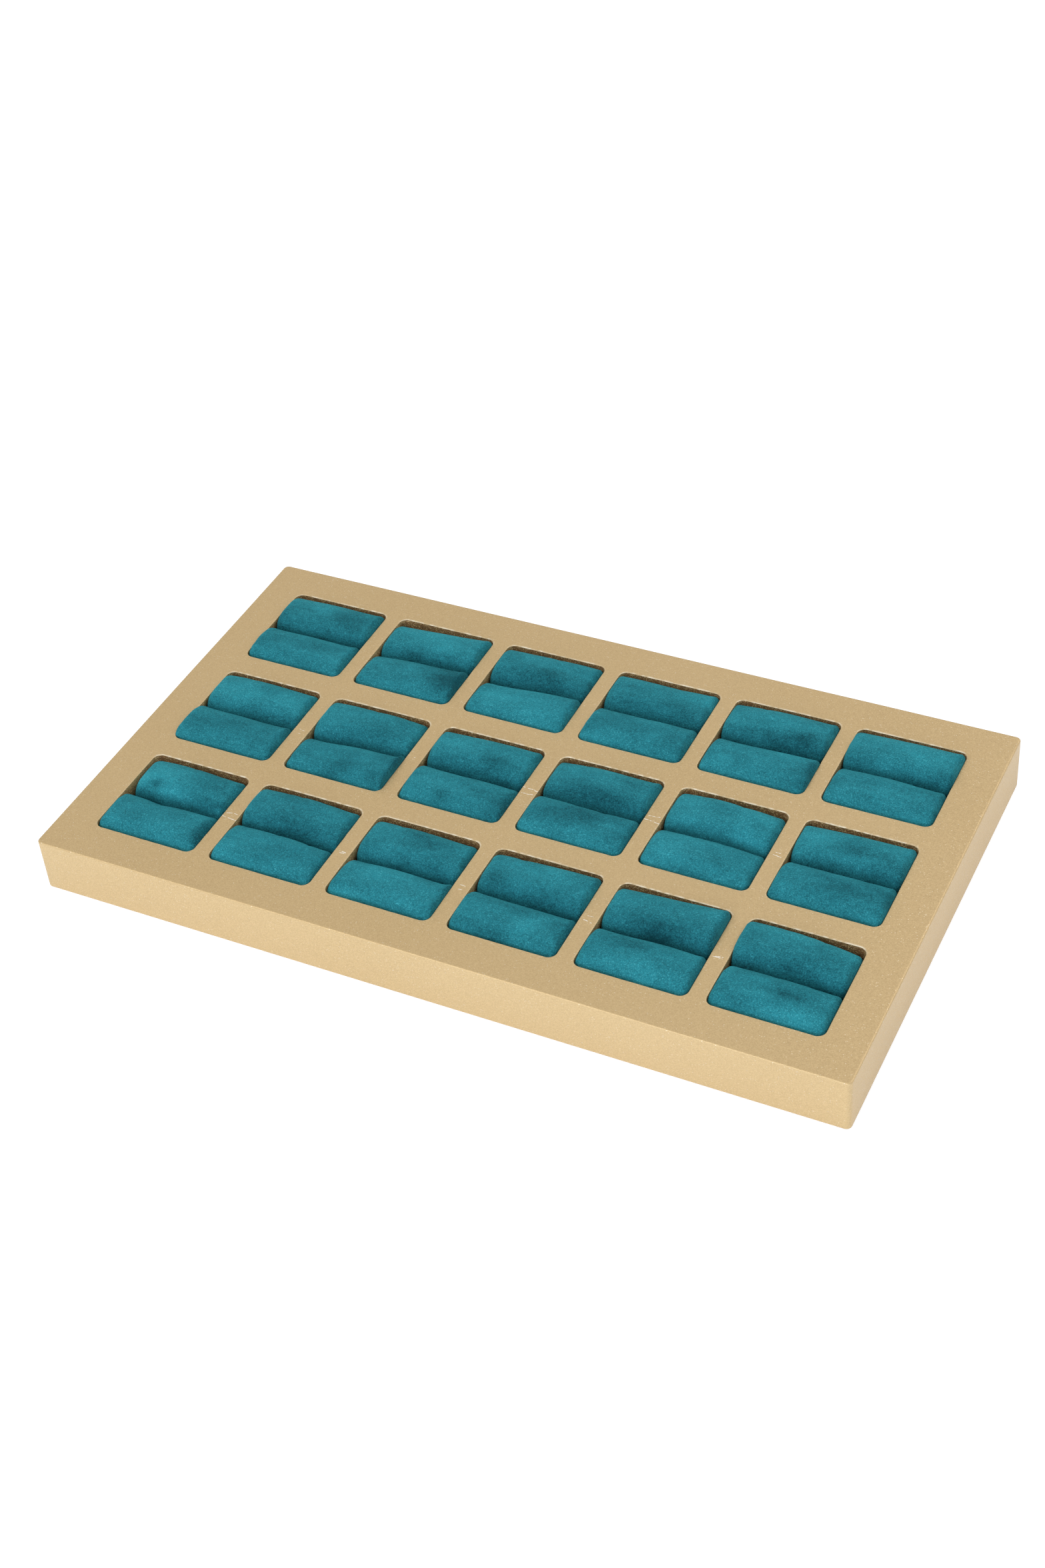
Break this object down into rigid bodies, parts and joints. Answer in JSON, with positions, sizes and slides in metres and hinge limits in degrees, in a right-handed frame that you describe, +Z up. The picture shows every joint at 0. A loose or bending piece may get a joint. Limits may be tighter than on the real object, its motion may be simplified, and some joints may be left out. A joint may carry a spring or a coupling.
{
  "type": "coin display tray",
  "caption": "Flat display tray: a gold-painted panel with a grid of square windows, each filled by a pair of velvet-covered foam rolls that grip a coin standing in the slit between them.",
  "frame": {"origin": "centre of the underside, on the surface the tray stands on", "axes": "+X along the long side to the right, +Y from the front edge to the back edge, +Z up"},
  "size_m": [0.3, 0.175, 0.0235],
  "materials": {
    "gold_paint": "satin",
    "hardboard": "matte",
    "zinc_screw": "satin",
    "black_felt": "matte",
    "teal_velvet": "matte",
    "grey_foam": "matte"
  },
  "bodies": {
    "tray": {"tray_frame": "gold_paint", "base_board": "hardboard", "base_screws": "zinc_screw", "underside_felt": "black_felt"},
    "insert_r1c1": {"roll_back_r1c1": "teal_velvet", "roll_front_r1c1": "teal_velvet", "foam_cores_r1c1": "grey_foam"},
    "insert_r1c2": {"roll_back_r1c2": "teal_velvet", "roll_front_r1c2": "teal_velvet", "foam_cores_r1c2": "grey_foam"},
    "insert_r1c3": {"roll_back_r1c3": "teal_velvet", "roll_front_r1c3": "teal_velvet", "foam_cores_r1c3": "grey_foam"},
    "insert_r1c4": {"roll_back_r1c4": "teal_velvet", "roll_front_r1c4": "teal_velvet", "foam_cores_r1c4": "grey_foam"},
    "insert_r1c5": {"roll_back_r1c5": "teal_velvet", "roll_front_r1c5": "teal_velvet", "foam_cores_r1c5": "grey_foam"},
    "insert_r1c6": {"roll_back_r1c6": "teal_velvet", "roll_front_r1c6": "teal_velvet", "foam_cores_r1c6": "grey_foam"},
    "insert_r2c1": {"roll_back_r2c1": "teal_velvet", "roll_front_r2c1": "teal_velvet", "foam_cores_r2c1": "grey_foam"},
    "insert_r2c2": {"roll_back_r2c2": "teal_velvet", "roll_front_r2c2": "teal_velvet", "foam_cores_r2c2": "grey_foam"},
    "insert_r2c3": {"roll_back_r2c3": "teal_velvet", "roll_front_r2c3": "teal_velvet", "foam_cores_r2c3": "grey_foam"},
    "insert_r2c4": {"roll_back_r2c4": "teal_velvet", "roll_front_r2c4": "teal_velvet", "foam_cores_r2c4": "grey_foam"},
    "insert_r2c5": {"roll_back_r2c5": "teal_velvet", "roll_front_r2c5": "teal_velvet", "foam_cores_r2c5": "grey_foam"},
    "insert_r2c6": {"roll_back_r2c6": "teal_velvet", "roll_front_r2c6": "teal_velvet", "foam_cores_r2c6": "grey_foam"},
    "insert_r3c1": {"roll_back_r3c1": "teal_velvet", "roll_front_r3c1": "teal_velvet", "foam_cores_r3c1": "grey_foam"},
    "insert_r3c2": {"roll_back_r3c2": "teal_velvet", "roll_front_r3c2": "teal_velvet", "foam_cores_r3c2": "grey_foam"},
    "insert_r3c3": {"roll_back_r3c3": "teal_velvet", "roll_front_r3c3": "teal_velvet", "foam_cores_r3c3": "grey_foam"},
    "insert_r3c4": {"roll_back_r3c4": "teal_velvet", "roll_front_r3c4": "teal_velvet", "foam_cores_r3c4": "grey_foam"},
    "insert_r3c5": {"roll_back_r3c5": "teal_velvet", "roll_front_r3c5": "teal_velvet", "foam_cores_r3c5": "grey_foam"},
    "insert_r3c6": {"roll_back_r3c6": "teal_velvet", "roll_front_r3c6": "teal_velvet", "foam_cores_r3c6": "grey_foam"}
  },
  "joints": [
    {"name": "lift_r1c1", "type": "slide", "parent": "tray", "child": "insert_r1c1", "axis": [0, 0, 1], "range_m": [0, 0.025]},
    {"name": "lift_r1c2", "type": "slide", "parent": "tray", "child": "insert_r1c2", "axis": [0, 0, 1], "range_m": [0, 0.025]},
    {"name": "lift_r1c3", "type": "slide", "parent": "tray", "child": "insert_r1c3", "axis": [0, 0, 1], "range_m": [0, 0.025]},
    {"name": "lift_r1c4", "type": "slide", "parent": "tray", "child": "insert_r1c4", "axis": [0, 0, 1], "range_m": [0, 0.025]},
    {"name": "lift_r1c5", "type": "slide", "parent": "tray", "child": "insert_r1c5", "axis": [0, 0, 1], "range_m": [0, 0.025]},
    {"name": "lift_r1c6", "type": "slide", "parent": "tray", "child": "insert_r1c6", "axis": [0, 0, 1], "range_m": [0, 0.025]},
    {"name": "lift_r2c1", "type": "slide", "parent": "tray", "child": "insert_r2c1", "axis": [0, 0, 1], "range_m": [0, 0.025]},
    {"name": "lift_r2c2", "type": "slide", "parent": "tray", "child": "insert_r2c2", "axis": [0, 0, 1], "range_m": [0, 0.025]},
    {"name": "lift_r2c3", "type": "slide", "parent": "tray", "child": "insert_r2c3", "axis": [0, 0, 1], "range_m": [0, 0.025]},
    {"name": "lift_r2c4", "type": "slide", "parent": "tray", "child": "insert_r2c4", "axis": [0, 0, 1], "range_m": [0, 0.025]},
    {"name": "lift_r2c5", "type": "slide", "parent": "tray", "child": "insert_r2c5", "axis": [0, 0, 1], "range_m": [0, 0.025]},
    {"name": "lift_r2c6", "type": "slide", "parent": "tray", "child": "insert_r2c6", "axis": [0, 0, 1], "range_m": [0, 0.025]},
    {"name": "lift_r3c1", "type": "slide", "parent": "tray", "child": "insert_r3c1", "axis": [0, 0, 1], "range_m": [0, 0.025]},
    {"name": "lift_r3c2", "type": "slide", "parent": "tray", "child": "insert_r3c2", "axis": [0, 0, 1], "range_m": [0, 0.025]},
    {"name": "lift_r3c3", "type": "slide", "parent": "tray", "child": "insert_r3c3", "axis": [0, 0, 1], "range_m": [0, 0.025]},
    {"name": "lift_r3c4", "type": "slide", "parent": "tray", "child": "insert_r3c4", "axis": [0, 0, 1], "range_m": [0, 0.025]},
    {"name": "lift_r3c5", "type": "slide", "parent": "tray", "child": "insert_r3c5", "axis": [0, 0, 1], "range_m": [0, 0.025]},
    {"name": "lift_r3c6", "type": "slide", "parent": "tray", "child": "insert_r3c6", "axis": [0, 0, 1], "range_m": [0, 0.025]}
  ]
}
